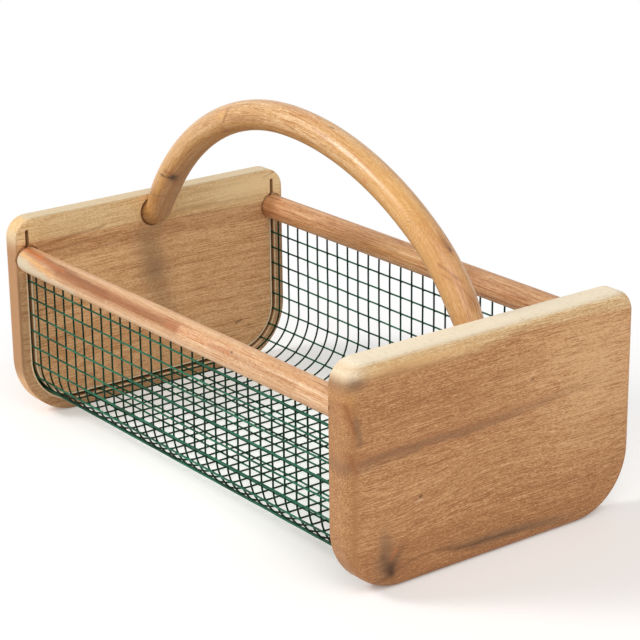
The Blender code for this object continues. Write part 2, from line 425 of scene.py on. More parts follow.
def handle_mesh():
    """The bent rod with its grain: distance along the rod, then the place in its section."""
    rings, grain = [], []

    def ring(point, forward=0, slimmer=0):
        """A ring square to the line, at a point of it or further forward."""
        x, z, slope, radius, distance = point
        up = Vector((math.sin(slope), 0, math.cos(slope)))
        ahead = Vector((math.cos(slope), 0, -math.sin(slope)))
        middle = Vector((x, 0, z)) + ahead * forward
        across = Vector((0, 1, 0))
        places = []
        for c, s in turns(handle_sides):
            spot = (distance * handle_wear_rate, s, c)
            reach = (radius - slimmer) * (1 - handle_wear * (0.5 + 0.5 * noise.noise(spot)))
            places.append(middle + (up * c + across * s) * reach)
            grain.append([part * millimetres for part in (distance + forward, reach * s, reach * c)])
        rings.append(places)

    line = handle_centreline()
    chamfer = handle_foot_chamfer
    ring(line[0], slimmer=chamfer)
    ring(line[0], forward=chamfer)
    for point in line[1:-1]:
        ring(point)
    ring(line[-1], forward=-chamfer)
    ring(line[-1], slimmer=chamfer)
    mesh = skin("handle", rings)
    store_grain(mesh, grain)
    return mesh


def store_grain(mesh, grain):
    """Each point's place in the wood: along the fibres, to the side and up, in millimetres."""
    attribute = mesh.attributes.new("grain", "FLOAT_VECTOR", "POINT")
    attribute.data.foreach_set("vector", [part for place in grain for part in place])


# Wire net
def net_place(along, offset):
    """(y, z) at a distance along the U from its front edge, offset to its outer side."""
    if along < net_wall:
        return -net_y - offset, net_top - along
    if along < net_wall + net_quarter:
        turn = (along - net_wall) / net_corner_radius
        radius = net_corner_radius + offset
        return -foot_y - radius * math.cos(turn), foot_radius - radius * math.sin(turn)
    if along <= net_length / 2:
        return along - net_length / 2, net_inset - offset
    y, z = net_place(net_length - along, offset)
    return -y, z


def net_rows():
    """How far along the U each lengthwise wire lies, and the x of each bent wire."""
    coarse = 2 * net_pitch
    coarse_rows = int((net_length - wire_diameter) / coarse) + 1
    spare = net_length - coarse * (coarse_rows - 1) - wire_diameter
    first = wire_diameter / 2 + spare / 2 * (1 - net_slide_share)
    rows = [first + net_pitch * k for k in range(2 * coarse_rows - 1)]
    half_count = int((net_half_width - wire_diameter) / net_pitch)
    bends = [net_pitch * k for k in range(-half_count, half_count + 1)]
    return rows, bends


def wire_rings(line):
    """Rings round a wire's line of points, a little smaller at its two ends."""
    rings = []
    side = None
    last = len(line) - 1
    for i, here in enumerate(line):
        ahead = (line[min(i + 1, last)] - line[max(i - 1, 0)]).normalized()
        side = side or ahead.orthogonal()
        side = (side - ahead * side.dot(ahead)).normalized()
        lift = ahead.cross(side)
        reach = wire_diameter / 2 * (wire_end_share if i in (0, last) else 1)
        rings.append([here + (side * c + lift * s) * reach for c, s in turns(wire_sides)])
    return rings


def wander(a, b, seed):
    """A small drift of a wire from its true line, the same on each run."""
    return wander_size * noise.noise((a * wander_rates[0], b * wander_rates[1], seed))


def lengthwise_line(along):
    """A straight wire from board to board, on the outer side of the U."""
    steps = int(2 * net_half_width / wire_step)
    y, z = net_place(along, wire_diameter * wire_sunk_share)
    line = []
    for i in range(steps + 1):
        x = -net_half_width + 2 * net_half_width * i / steps
        sideways = wander(x, along, sideways_seed) * sideways_share
        upward = wander(x, along, upward_seed) * upward_share
        line.append(Vector((x, y + sideways, z + upward)))
    return line


def bent_line(x):
    """A wire bent into a U, on its inner side."""
    steps = int(net_length / wire_step)
    line = []
    for i in range(steps + 1):
        along = net_length * i / steps
        y, z = net_place(along, -wire_diameter * wire_sunk_share)
        line.append(Vector((x + wander(along, x, bent_seed), y, z)))
    return line


def weld_beads(rows, bends):
    """Where two wires cross, the coating gathers in a small flat bead between them."""
    points, faces = [], []
    for along in rows:
        y, z = net_place(along, 0)
        y_out, z_out = net_place(along, wire_diameter)
        out = Vector((0, y_out - y, z_out - z)).normalized()
        run = out.cross(Vector((1, 0, 0)))
        for x in bends:
            middle = Vector((x + wander(along, x, bent_seed), y, z))
            first = len(points)
            points.append(middle - out * bead_flat)
            for i in range(1, bead_rings):
                tilt = math.pi * i / bead_rings
                level = middle - out * bead_flat * math.cos(tilt)
                for c, s in turns(bead_sides):
                    across = Vector((1, 0, 0)) * c + run * s
                    points.append(level + across * bead_wide * math.sin(tilt))
            points.append(middle + out * bead_flat)
            last = len(points) - 1
            for k in range(bead_sides):
                j = (k + 1) % bead_sides
                faces.append((first, first + 1 + j, first + 1 + k))
                for low in range(first + 1, last - bead_sides, bead_sides):
                    faces.append((low + k, low + j, low + bead_sides + j, low + bead_sides + k))
                faces.append((last - bead_sides + k, last - bead_sides + j, last))
    return mesh_of("weld beads", points, faces)


# Material recipes
def maths(operation, swapped=False):
    """A method of Signal that adds a Math node, with the signal first or, swapped, last."""
    def method(self, *others):
        values = (*others, self) if swapped else (self, *others)
        return self.recipe.node("Math", {"operation": operation}, dict(enumerate(values)))
    return method


class Signal:
    """A value on its way through a material. Python arithmetic on it adds Math nodes."""

    def __init__(self, recipe, socket):
        self.recipe = recipe
        self.socket = socket

    __add__ = __radd__ = maths("ADD")
    __sub__ = maths("SUBTRACT")
    __rsub__ = maths("SUBTRACT", swapped=True)
    __mul__ = __rmul__ = maths("MULTIPLY")
    __truediv__ = maths("DIVIDE")
    __abs__ = maths("ABSOLUTE")
    exp = maths("EXPONENT")
    root = maths("SQRT")
    wave = maths("SINE")
    at_least = maths("MAXIMUM")
    at_most = maths("MINIMUM")

    def output(self, name):
        """Another output of the same node."""
        return Signal(self.recipe, self.socket.node.outputs[name])

    def rise(self, low, high):
        """0 up to low, 1 from high on, smooth between them."""
        return self.recipe.node("MapRange", {"interpolation_type": "SMOOTHSTEP"}, {
            "Value": self, "From Min": low, "From Max": high})

    def fall(self, low, high):
        """1 up to low, 0 from high on, smooth between them."""
        return 1 - self.rise(low, high)

    def faded(self):
        """1 where the value is 0, fading out round 1 and -1."""
        return (self * self * -1).exp()

    def beside(self, height, half_width):
        """1 at a height, fading out at half_width above and below it."""
        return ((self - height) / half_width).faded()


class Recipe:
    """The nodes of a material or of the world."""

    def __init__(self, owner):
        owner.use_nodes = True
        self.owner = owner
        self.tree = owner.node_tree
        end = next(node for node in self.tree.nodes if "Output" in node.name)
        self.surface = end.inputs["Surface"]
        self.shader = self.surface.links[0].from_node

    def node(self, kind, settings=None, values=None, output=0):
        """A node of that kind: its settings first, then the values or signals of its sockets."""
        node = self.tree.nodes.new("ShaderNode" + kind)
        for setting, value in (settings or {}).items():
            if setting == "paints":
                set_paints(node.color_ramp, value)
            elif setting == "points":
                set_points(node.mapping, value)
            else:
                setattr(node, setting, value)
        for socket, value in (values or {}).items():
            self.feed(node.inputs[socket], value)
        return Signal(self, node.outputs[output])

    def feed(self, socket, value):
        if isinstance(value, Signal):
            self.tree.links.new(value.socket, socket)
        else:
            socket.default_value = value

    def shade(self, **values):
        """Feeds the shader's sockets, named with _ for a space."""
        for socket, value in values.items():
            self.feed(self.shader.inputs[socket.replace("_", " ")], value)
        return self.owner

    def whiten(self, share, light):
        """Shows plain white instead by a share from 0 to 1, from that kind of light node."""
        white = self.node(light, values={"Color": (1, 1, 1, 1), "Strength": 1.0})
        body = Signal(self, self.shader.outputs[0])
        self.feed(self.surface, self.node("MixShader", values={0: share, 1: body, 2: white}))

    def vector(self, operation, *vectors, output=0):
        return self.node("VectorMath", {"operation": operation}, dict(enumerate(vectors)), output)

    def parts(self, vector):
        x = self.node("SeparateXYZ", values={"Vector": vector})
        return x, x.output("Y"), x.output("Z")

    def joined(self, x, y, z):
        return self.node("CombineXYZ", values={0: x, 1: y, 2: z})

    def scaled(self, vector, size):
        """The vector measured in sizes: (along, side, up)."""
        return self.vector("MULTIPLY", vector, tuple(1 / s for s in size))

    def noise(self, vector, size, detail=2.0, rough=0.5):
        """Soft cloudy values from 0 to 1, with patches of about that size."""
        return self.node("TexNoise", values={
            "Vector": self.scaled(vector, size), "Scale": 1.0, "Detail": detail, "Roughness": rough})

    def stirred(self, vector, size, amount):
        """The vector pushed about a little, so that lines laid out on it waver."""
        push = self.vector("SUBTRACT", self.noise(vector, size).output("Color"), (0.5, 0.5, 0.5))
        return self.vector("ADD", vector, self.vector("MULTIPLY", push, (amount,) * 3))

    def spots(self, vector, size):
        """(distance to the nearest spot's middle, that spot's own random value)."""
        near = self.node("TexVoronoi", values={"Vector": self.scaled(vector, size), "Scale": 1.0})
        return near, self.parts(near.output("Color"))[0]

    def blot(self, place, middle, size):
        """1 at the middle of a soft blot, fading out at its size along each axis."""
        off = self.scaled(self.vector("SUBTRACT", place, middle), size)
        return (self.vector("DOT_PRODUCT", off, off, output="Value") * -1).exp()

    def far(self, place, middle):
        """How far a place is from a middle."""
        return self.vector("LENGTH", self.vector("SUBTRACT", place, middle), output="Value")

    def stroke(self, place, start, end, width):
        """1 along a straight stroke, fading out at its width."""
        run = Vector(end) - Vector(start)
        from_start = self.vector("SUBTRACT", place, start)
        share = self.vector("DOT_PRODUCT", from_start, tuple(run / run.length_squared), output="Value")
        share = share.at_least(0).at_most(1)
        nearest = self.node("VectorMath", {"operation": "SCALE"}, {0: tuple(run), "Scale": share})
        return (self.far(from_start, nearest) / width).faded()

    def mixed(self, share, first, second, kind="MIX"):
        """A colour between two colours, or with MULTIPLY between the first and their product."""
        return self.node("Mix", {"data_type": "RGBA", "blend_type": kind}, {
            0: share, 6: opaque(first), 7: opaque(second)}, output=2)

    def ramp(self, value, paints):
        """The paint for a tone from 0 to 1."""
        return self.node("ValToRGB", {"paints": paints}, {"Fac": value})


def opaque(colour):
    return colour if isinstance(colour, Signal) else (*colour, 1)


paint_tones = (0.15, 0.42, 0.60, 0.85)


def set_paints(ramp, paints):
    while len(ramp.elements) < len(paints):
        ramp.elements.new(0.5)
    for element, tone, paint in zip(ramp.elements, paint_tones, paints):
        element.position = tone
        element.color = (*paint, 1)


def set_points(mapping, points):
    curve = mapping.curves[0]
    while len(curve.points) < len(points):
        curve.points.new(0.5, 0.5)
    for point, place in zip(curve.points, points):
        point.location = place
    mapping.update()


# Wood
line_from, line_span = -250, 500
line_low, line_height = -40, 240

red_brown = (0.330, 0.120, 0.042)
rust = (0.260, 0.072, 0.012)
grey_brown = (0.220, 0.125, 0.068)
tan_brown = (0.420, 0.190, 0.070)
dark_brown = (0.085, 0.038, 0.018)
pit_brown = (0.040, 0.016, 0.008)
fox_red = (0.620, 0.190, 0.060)
golden = (0.800, 0.430, 0.130)
honey = (0.760, 0.450, 0.200)
light_honey = (0.970, 0.730, 0.400)
cream = (0.900, 0.740, 0.500)
pale_cream = (0.930, 0.830, 0.640)
dull_cream = (0.680, 0.570, 0.390)
lit_cut_cream = (0.960, 0.800, 0.540)
pink_cream = (0.860, 0.580, 0.340)

# Four paints each, from the darkest grain to the palest
tan_paints = ((0.37, 0.16, 0.06), (0.54, 0.268, 0.112), (0.64, 0.345, 0.155), (0.76, 0.46, 0.23))
sap_paints = ((0.60, 0.36, 0.16), (0.78, 0.54, 0.28), (0.86, 0.65, 0.38), (0.92, 0.76, 0.52))
# Paler copies for the far board's shaded inner face: painted light.
painted_light_tan_paints = ((0.46, 0.205, 0.078), (0.65, 0.33, 0.138), (0.77, 0.43, 0.195), (0.90, 0.58, 0.30))
painted_light_sap_paints = ((0.62, 0.37, 0.155), (0.80, 0.53, 0.25), (0.88, 0.63, 0.33), (0.94, 0.74, 0.46))
rail_paints = ((0.37, 0.14, 0.055), (0.58, 0.285, 0.125), (0.70, 0.40, 0.20), (0.84, 0.58, 0.36))
handle_paints = ((0.44, 0.19, 0.052), (0.615, 0.33, 0.12), (0.715, 0.43, 0.19), (0.84, 0.59, 0.34))


def level_line(along, places):
    """How high a line through (along, up) places lies over each point, in millimetres."""
    points = [((a - line_from) / line_span, (up - line_low) / line_height) for a, up in places]
    share = (along - line_from) / line_span
    return along.recipe.node("FloatCurve", {"points": points}, {"Value": share}) * line_height + line_low


def on_board(along, up):
    return (along, 0, up)


def on_rod(radius):
    """Places on a round rod by distance along it and turn in degrees: 0 on top, 270 in front."""
    def place(along, turn):
        angle = math.radians(turn)
        return (along, radius * math.sin(angle), radius * math.cos(angle))
    return place


class Wood(Recipe):
    """The recipe of a wooden piece. Its colour takes one paint over the other."""

    def __init__(self, name, look, at, wobble, side_share=1):
        """at makes a place from a mark's two numbers. wobble is the size and amount that marks waver by."""
        super().__init__(bpy.data.materials.new(name))
        self.look = SimpleNamespace(**look)
        self.at = at
        self.along, self.side, self.up = self.parts(
            self.node("Attribute", {"attribute_name": "grain"}, output="Vector"))
        self.place = self.stirred(self.joined(self.along, self.side * side_share, self.up), *wobble)

    def grow(self, side, up, paints, lighter=0):
        """The wood before its marks, with its tone from 0 to 1, its pores and its fibres."""
        look = self.look
        slow = self.noise(self.joined(self.along, side, up), (150, 40, 34), detail=1.5)
        sway = (slow - 0.5) * look.sway
        lane = self.joined(self.along, side + sway, up + sway)
        bands = self.noise(lane, look.band_size, detail=3.0, rough=0.55)
        self.fibres = self.noise(lane, look.fibre_size, detail=4.0, rough=0.62)
        dashes = self.noise(lane, look.dash_size, detail=1.5).rise(0.52, 0.66)
        flecks = self.noise(lane, look.fleck_size, detail=1.5).rise(0.55, 0.70)
        speckle = self.noise(lane, look.speckle_size, detail=1.0)
        near, luck = self.spots(lane, look.pore_size)
        self.pores = near.fall(0.12, 0.36) * luck.rise(0.35, 0.8)
        self.tone = (
            look.tone + (bands - 0.5) * look.band_strength + (self.fibres - 0.5) * look.fibre_strength
            - dashes * look.dash_strength + flecks * look.fleck_strength
            + (speckle - 0.5) * look.speckle_strength
        )
        self.colour = self.ramp(self.tone + lighter, paints)

    def paint(self, paint, mask):
        """Lays a paint over the colour, as strong as the mask from 0 to 1."""
        self.colour = self.mixed(mask, self.colour, paint)

    def patches(self, *marks):
        """Soft patches: (paint, strength, middle, how long, how high)."""
        for paint, strength, middle, long, high in marks:
            self.paint(paint, self.blot(self.place, self.at(*middle), (long, high, high)) * strength)

    def strokes(self, *marks):
        """Narrow strokes: (paint, strength, start, end, width)."""
        for paint, strength, start, end, width in marks:
            self.paint(paint, self.stroke(self.place, self.at(*start), self.at(*end), width) * strength)

    def finished(self):
        """The material. Pores darken it, and pores and fibres roughen its surface."""
        look = self.look
        colour = self.mixed(self.pores * look.pore_dark, self.colour, look.pore_colour, "MULTIPLY")
        height = self.fibres * 0.35 - self.pores * 0.9
        normal = self.node("Bump", values={"Strength": 0.35, "Distance": 0.00012, "Height": height})
        rough = look.rough + (self.fibres - 0.5) * 0.16 + self.pores * 0.12
        return self.shade(Base_Color=colour, Roughness=rough, Normal=normal, Specular_IOR_Level=look.shine)


board_look = dict(
    sway=11.0, band_size=(150, 6.0, 6.0), fibre_size=(46, 0.85, 0.85), dash_size=(14.0, 0.55, 0.55),
    fleck_size=(18.0, 0.6, 0.6), speckle_size=(2.2, 0.42, 0.42), pore_size=(6.0, 0.8, 0.8),
    tone=0.38, band_strength=0.34, fibre_strength=0.85, dash_strength=0.34, fleck_strength=0.22,
    speckle_strength=1.30, pore_dark=0.45, pore_colour=(0.50, 0.38, 0.30), rough=0.52, shine=0.22,
)
# The far board's look has a lighter tone, painted light for its shaded inner face.
left_board_look = dict(
    board_look, sway=8.0, fibre_size=(70, 0.8, 0.8), dash_size=(26, 0.6, 0.6), tone=0.60,
    band_strength=0.5, fibre_strength=1.15, dash_strength=0.30, pore_dark=0.30,
)
rail_look = dict(
    sway=3.0, band_size=(150, 3.2, 3.2), fibre_size=(60, 0.8, 0.8), dash_size=(22, 0.6, 0.6),
    fleck_size=(18, 0.8, 0.8), speckle_size=(4.0, 0.55, 0.55), pore_size=(5.0, 0.9, 0.9),
    tone=0.52, band_strength=0.80, fibre_strength=0.72, dash_strength=0.26, fleck_strength=0.10,
    speckle_strength=0.60, pore_dark=0.40, pore_colour=(0.50, 0.38, 0.30), rough=0.46, shine=0.28,
)
handle_look = dict(
    sway=5.0, band_size=(110, 4.4, 4.4), fibre_size=(44, 0.9, 0.9), dash_size=(15, 0.7, 0.7),
    fleck_size=(14, 0.8, 0.8), speckle_size=(3.0, 0.6, 0.6), pore_size=(5.0, 1.0, 1.0),
    tone=0.46, band_strength=0.90, fibre_strength=1.20, dash_strength=0.28, fleck_strength=0.22,
    speckle_strength=0.90, pore_dark=0.40, pore_colour=(0.55, 0.42, 0.32), rough=0.30, shine=0.50,
)


def net_line_offset(along, up):
    """How far outside the middle of the net's groove a point of the board lies, in millimetres."""
    wide = abs(along) - (net_y - net_corner_radius) * millimetres
    deep = foot_radius * millimetres - up
    wide_out, deep_out = wide.at_least(0), deep.at_least(0)
    inside = wide.at_least(deep).at_most(0)
    return (wide_out * wide_out + deep_out * deep_out).root() + inside - net_corner_radius * millimetres


def trim_groove(wood):
    """Pale cut edges along the groove, partly painted highlight, a painted shadow line inside it below the
    rails, reddish walls in it that are partly painted shade, and a duller strip outside it.
    """
    up, depth = wood.up, abs(wood.side)
    off = net_line_offset(wood.along, up)
    half = (net_thickness / 2 + groove_clearance) * millimetres
    on_face = depth.fall(0.5, 1.2)
    wood.paint(grey_brown, off.rise(half, half + 1.5) * on_face * up.fall(105, 125) * 0.40)
    below_rail = on_face * up.fall(112, 116)
    # Painted shadow: a thin dark line just inside the groove's inner edge, below the rails.
    wood.paint(dark_brown, off.beside(-half - 1.4, 0.4) * below_rail * 0.5)
    # Pale cut wood along both edges of the groove, partly a painted highlight where the edges catch light.
    pale_lit_lips = off.beside(-half - 0.45, 0.75) + off.beside(half + 0.5, 0.5) * 0.75
    wood.paint(lit_cut_cream, pale_lit_lips.at_most(1) * below_rail)
    # Reddish walls in the groove: the wood's colour, partly painted shade in the recess.
    in_groove = (1 - on_face) * depth.fall(8, 9) * up.fall(148, 149.5)
    wood.paint(red_brown, abs(off).fall(half + 0.05, half + 0.3) * in_groove * 0.5)


def right_board_wood():
    """The near board: pale sapwood along the top, one growth streak, and a knot near the foot. Painted
    light makes it lighter towards the upper right and paler on its top edge and top left corner.
    """
    wood = Wood("right board wood", board_look, on_board, ((14, 14, 5), 3.0), side_share=0)
    along, up, place = wood.along, wood.up, wood.place
    drawn_up = wood.parts(place)[2]
    knot_along, knot_up = -85, 17
    a = (along - knot_along) / 13
    b = (up - knot_up) / 9
    near_knot = ((a * a + b * b) * -1).exp()
    climb_from = -48
    climb = wood.blot(place, (climb_from, 0, 50), (62, 40, 30)) * (along - climb_from) * 0.14
    flow = up - (up - knot_up) * near_knot * 0.7 - climb
    # Painted light and tone: the face is painted lighter towards its upper right, where light falls; the
    # other blots shift the wood's tone, darker at the upper left and towards the bottom, lighter at the
    # middle left.
    shade = (
        wood.blot(place, (85, 0, 118), (62, 40, 42)) * 0.34
        + wood.blot(place, (85, 0, 70), (50, 40, 30)) * 0.14
        - wood.blot(place, (-70, 0, 121), (62, 40, 17)) * 0.06
        + wood.blot(place, (-40, 0, 62), (80, 40, 20)) * 0.07
        - wood.blot(place, (0, 0, 0), (140, 40, 24)) * 0.15
    )
    wood.grow(wood.side, flow, tan_paints, lighter=shade)
    growth = level_line(along, [(-121, 91), (-78, 93.5), (-14, 93), (41, 96.5), (72, 98.9), (121, 100.5)])
    fading = along.fall(-55, 125) * (1 - along.fall(-120, -106) * 0.7)
    for paint, strength, drop, half_width in (
        (red_brown, 0.45, 0, 5.0),
        (grey_brown, 0.50, 0.8, 2.2),
        (grey_brown, 0.45, 3.2, 0.7),
    ):
        wood.paint(paint, drawn_up.beside(growth - drop, half_width) * fading * strength)
    foot_line = level_line(along, [(-62, 18), (-41, 15), (-24, 12.2), (12, 11), (40, 8.8), (85, 4.7)])
    greyish = drawn_up.beside(foot_line + 0.8, 3.4) * along.rise(-60, -5) * along.fall(30, 100)
    wood.paint(grey_brown, greyish * 0.72)
    dark_line = drawn_up.beside(foot_line, 1.5) * along.rise(-66, -30) * along.fall(5, 45)
    wood.paint(dark_brown, dark_line * 0.45)
    wood.patches(
        (red_brown, 0.32, (-80, 14), 32, 14),
        (grey_brown, 0.65, (-90, 31), 5.5, 11),
        (grey_brown, 0.70, (-88, 17), 10, 9),
        (dark_brown, 0.80, (-86, 14), 4.2, 5.5),
        (pit_brown, 0.60, (-85.0, 11.5), 2.0, 3.0),
    )
    wood.strokes(
        (dark_brown, 0.30, (-84, 17), (-77, 27), 2.4),
        (dark_brown, 0.30, (-88, 16), (-92, 25), 3.0),
        (dark_brown, 0.30, (-82, 12), (-60, 18), 1.2),
        (dark_brown, 0.30, (-88, 10), (-102, 6), 1.6),
        (fox_red, 0.35, (-85, 21), (-81, 27), 1.2),
        (red_brown, 0.45, (-72, 37), (-60, 40), 1.0),
        (grey_brown, 0.45, (-112, 86), (-62, 89), 1.3),
        (pit_brown, 0.85, (-62.6, 57), (-61.2, 57.4), 0.8),
        (cream, 0.30, (-66, 54.5), (-60, 54.8), 0.8),
        (pit_brown, 0.65, (29.4, 112.4), (30.6, 112.8), 0.7),
    )
    border = level_line(along, [
        (-121, 146), (-78, 145.9), (-15, 144.2), (18, 148), (53, 147), (88, 145.5), (121, 143)])
    wood.paint(grey_brown, drawn_up.beside(border - 1.6, 1.5) * along.fall(-110, 40) * 0.40)
    sap = (drawn_up - border + (wood.fibres - 0.5) * 5).rise(-3.4, 3.6)
    wood.paint(wood.ramp(wood.tone - 0.02, sap_paints), sap)
    # The top edge is painted pale cream: pale sapwood, and partly painted light from above.
    wood.paint(pale_cream, up.rise(151.5, 154.8) * 0.80)
    wood.patches(
        (honey, 0.75, (-64, 146.5), 46, 4.0),
        (tan_brown, 0.30, (-80, 145), 20, 3.0),
        # Painted highlight: the pale cream patch at the top left corner.
        (pale_cream, 0.55, (-115, 149), 9, 5),
        (grey_brown, 0.72, (-113, 142), 8.0, 3.6),
        (golden, 0.22, (-116.5, 132), 4.5, 7),
        (grey_brown, 0.35, (-118, 90), 5, 6),
    )
    wood.strokes(
        (grey_brown, 0.10, (-122, 25), (-122, 130), 4.0),
        (tan_brown, 0.66, (-113.5, 20), (-113.5, 130), 2.8),
        (red_brown, 0.75, (-119, 130), (-113, 112), 1.8),
        (grey_brown, 0.60, (-112, 120), (-109, 104), 2.4),
        (red_brown, 0.55, (-117, 98), (-112, 86), 2.0),
    )
    trim_groove(wood)
    return wood.finished()


def left_board_wood():
    """The far board, in paler paints and tone as painted light for its shaded inner face: sapwood along the
    top, reddish lines below it, a grey patch in the middle that is a painted shadow below the handle's
    foot, and a painted light patch at its upper right.
    """
    wood = Wood("left board wood", left_board_look, on_board, ((18, 14, 5), 3.0), side_share=0.7)
    along, up = wood.along, wood.up
    drawn_up = wood.parts(wood.place)[2]
    # Paler paints stand in for the light that the far board's inner face lacks: painted light.
    wood.grow(wood.side + 37, up, painted_light_tan_paints)
    border = level_line(along, [
        (-121, 138), (-91, 137), (-46, 135), (0, 134), (20, 133), (60, 131.5), (97, 130), (121, 129)])
    wood.paint(red_brown, drawn_up.beside(border - 8, 7) * 0.28)
    sap = (drawn_up - border + (wood.fibres - 0.5) * 6).rise(-1.8, 1.8)
    wood.paint(wood.ramp(wood.tone - 0.10, painted_light_sap_paints), sap * 0.85)
    wood.strokes(
        (red_brown, 0.50, (-116, 131), (-45, 138), 1.3),
        (red_brown, 0.45, (-108, 126), (-30, 131), 1.0),
        (red_brown, 0.35, (-80, 121), (-20, 124), 1.0),
        (red_brown, 0.35, (20, 138), (100, 136), 1.2),
        (red_brown, 0.30, (30, 131), (104, 128), 1.0),
        # Painted shadow: a soft grey patch below the handle's foot, down the middle of the inner face.
        (grey_brown, 0.48, (-7, 121), (-1, 96), 12.0),
        (grey_brown, 0.34, (-1, 94), (6, 58), 12.0),
        (pit_brown, 0.70, (73, 35.2), (78, 36.3), 0.9),
        (dark_brown, 0.60, (103, 149.2), (113, 153), 0.8),
        (pit_brown, 0.80, (111, 152.4), (113, 153), 0.9),
    )
    wood.patches(
        # The first patch is painted light: paler honey at the upper right, where the board gets less light.
        (light_honey, 0.85, (90, 144), 42, 11),
        (light_honey, 0.25, (-60, 146), 60, 8),
    )
    wood.paint(dull_cream, up.rise(154, 155.2) * 0.70)
    end_grain = abs(along).rise(117, 120)
    wood.paint(dull_cream, end_grain * 0.45)
    wood.paint(tan_brown, end_grain * up.fall(128, 146) * 0.80)
    trim_groove(wood)
    return wood.finished()


def front_rail_wood():
    """The front rail: pale at its far end, then a red-brown band with paler wood over and under it."""
    wood = Wood("front rail wood", rail_look, on_rod(rail_radius * millimetres), ((16, 4, 4), 2.0))
    wood.grow(wood.side, wood.up, rail_paints, lighter=0.10)
    wood.strokes(
        (pink_cream, 0.40, (-120, 352), (60, 350), 3.0),
        (pink_cream, 0.42, (-140, 256), (60, 254), 3.2),
        (rust, 0.72, (-178, 336), (-134, 320), 3.8),
        (rust, 0.86, (-130, 312), (-72, 303), 4.8),
        (rust, 0.80, (-67, 304), (20, 302), 3.9),
        (fox_red, 0.30, (10, 303), (80, 299), 2.6),
        (red_brown, 0.34, (60, 300), (152, 293), 2.4),
        (dull_cream, 0.95, (-192, 278), (-176, 268), 6.4),
        (dull_cream, 0.85, (-176, 262), (-150, 248), 4.6),
        (dull_cream, 0.55, (-150, 246), (-110, 238), 3.2),
        (fox_red, 0.75, (-192, 346), (-160, 336), 2.4),
        (fox_red, 0.50, (-165, 330), (-125, 320), 1.4),
        (golden, 0.60, (-184, 316), (-160, 298), 1.3),
        (golden, 0.50, (-160, 298), (-138, 280), 1.2),
        (dark_brown, 0.35, (-186, 350), (-110, 335), 0.5),
        (dark_brown, 0.30, (-176, 340), (-90, 322), 0.5),
        (dark_brown, 0.30, (-150, 326), (-70, 312), 0.5),
        (pit_brown, 0.80, (82.5, 309), (83.5, 309), 0.8),
    )
    speckle = wood.noise(wood.place, (1.6, 0.9, 0.9), detail=1.0).rise(0.55, 0.66)
    band = wood.stroke(wood.place, wood.at(-125, 304), wood.at(150, 296), 4.0)
    wood.paint(red_brown, speckle * band * 0.45)
    return wood.finished()


def back_rail_wood():
    """The back rail: even tan, with a darker reddish stretch behind the handle's leg."""
    wood = Wood("back rail wood", rail_look, on_rod(rail_radius * millimetres), ((16, 4, 4), 2.0))
    wood.grow(wood.side + 19, wood.up, rail_paints, lighter=-0.01)
    wood.patches(
        (red_brown, 0.55, (56, 320), 14, 7),
        (golden, 0.30, (-20, 290), 40, 6),
        (fox_red, 0.22, (-175, 290), 14, 8),
    )
    wood.strokes(
        (red_brown, 0.45, (70, 310), (124, 300), 0.9),
        (red_brown, 0.40, (78, 325), (120, 318), 0.8),
        (red_brown, 0.35, (-120, 305), (-20, 298), 1.0),
    )
    return wood.finished()


def handle_wood():
    """The bent handle: golden tan, with a knot on each leg, fine growth rings round the near one, and
    painted shade on its underside.
    """
    wood = Wood("handle wood", handle_look, on_rod(handle_radius * millimetres), ((12, 4, 4), 1.6))
    wood.grow(wood.side, wood.up, handle_paints)
    # Painted shade: the underside of the rod is painted darker tan-brown.
    wood.paint(tan_brown, wood.up.fall(-9, 1) * 0.58)
    wood.patches(
        (honey, 0.35, (-110, 290), 60, 9),
        (fox_red, 0.20, (30, 345), 40, 5),
        (golden, 0.45, (-64, 287), 7, 4),
        (red_brown, 0.40, (-66, 222), 6, 3.2),
        (golden, 0.65, (165, 272), 60, 8),
        (golden, 0.55, (140, 335), 70, 9),
        (tan_brown, 0.26, (190, 315), 34, 10),
        (golden, 0.42, (-165, 290), 44, 9),
        (red_brown, 0.35, (-158, 225), 10, 7),
        (dark_brown, 0.90, (-158, 219), 4.0, 3.2),
        (fox_red, 0.75, (102, 270), 1.8, 1.2),
        (fox_red, 0.24, (192, 345), 36, 8),
        (rust, 0.62, (174, 4), 5.5, 2.6),
        (dark_brown, 0.75, (178, 9), 2.2, 1.4),
        (rust, 0.42, (213, 6), 9, 5.5),
        (red_brown, 0.42, (-188, 270), 9, 9),
    )
    wood.strokes(
        (dark_brown, 0.60, (-157, 222), (-154, 206), 0.9),
        (dark_brown, 0.45, (-160, 226), (-158, 258), 0.6),
        (dark_brown, 0.80, (-159, 224), (-163, 262), 0.9),
        (dark_brown, 0.75, (-163, 262), (-167, 308), 0.7),
        (red_brown, 0.70, (-155, 230), (-157, 262), 1.0),
        (dark_brown, 0.45, (-189, 300), (-185, 255), 0.6),
        (dark_brown, 0.45, (-185, 255), (-180, 215), 0.6),
        (red_brown, 0.75, (-56, 306), (-58, 285), 0.9),
        (red_brown, 0.75, (-58, 285), (-62, 262), 0.9),
        (dark_brown, 0.70, (50.5, 347), (53.5, 349), 0.7),
        (red_brown, 0.60, (184, 304), (196, 338), 0.9),
        (red_brown, 0.60, (196, 338), (211, 34), 0.9),
        (red_brown, 0.45, (190, 300), (203, 340), 0.8),
        (red_brown, 0.45, (203, 340), (214, 10), 0.8),
    )
    wavy = wood.stirred(wood.place, (9, 5, 5), 4.0)
    for middle, size, spacing in ((wood.at(174, 4), 11, 2.6), (wood.at(152, 274), 17, 2.3)):
        ring = (wood.far(wavy, middle) * (2 * math.pi / spacing)).wave() * 0.5 + 0.5
        wood.paint(red_brown, ring * ring * wood.blot(wavy, middle, (size,) * 3) * 0.30)
    return wood.finished()


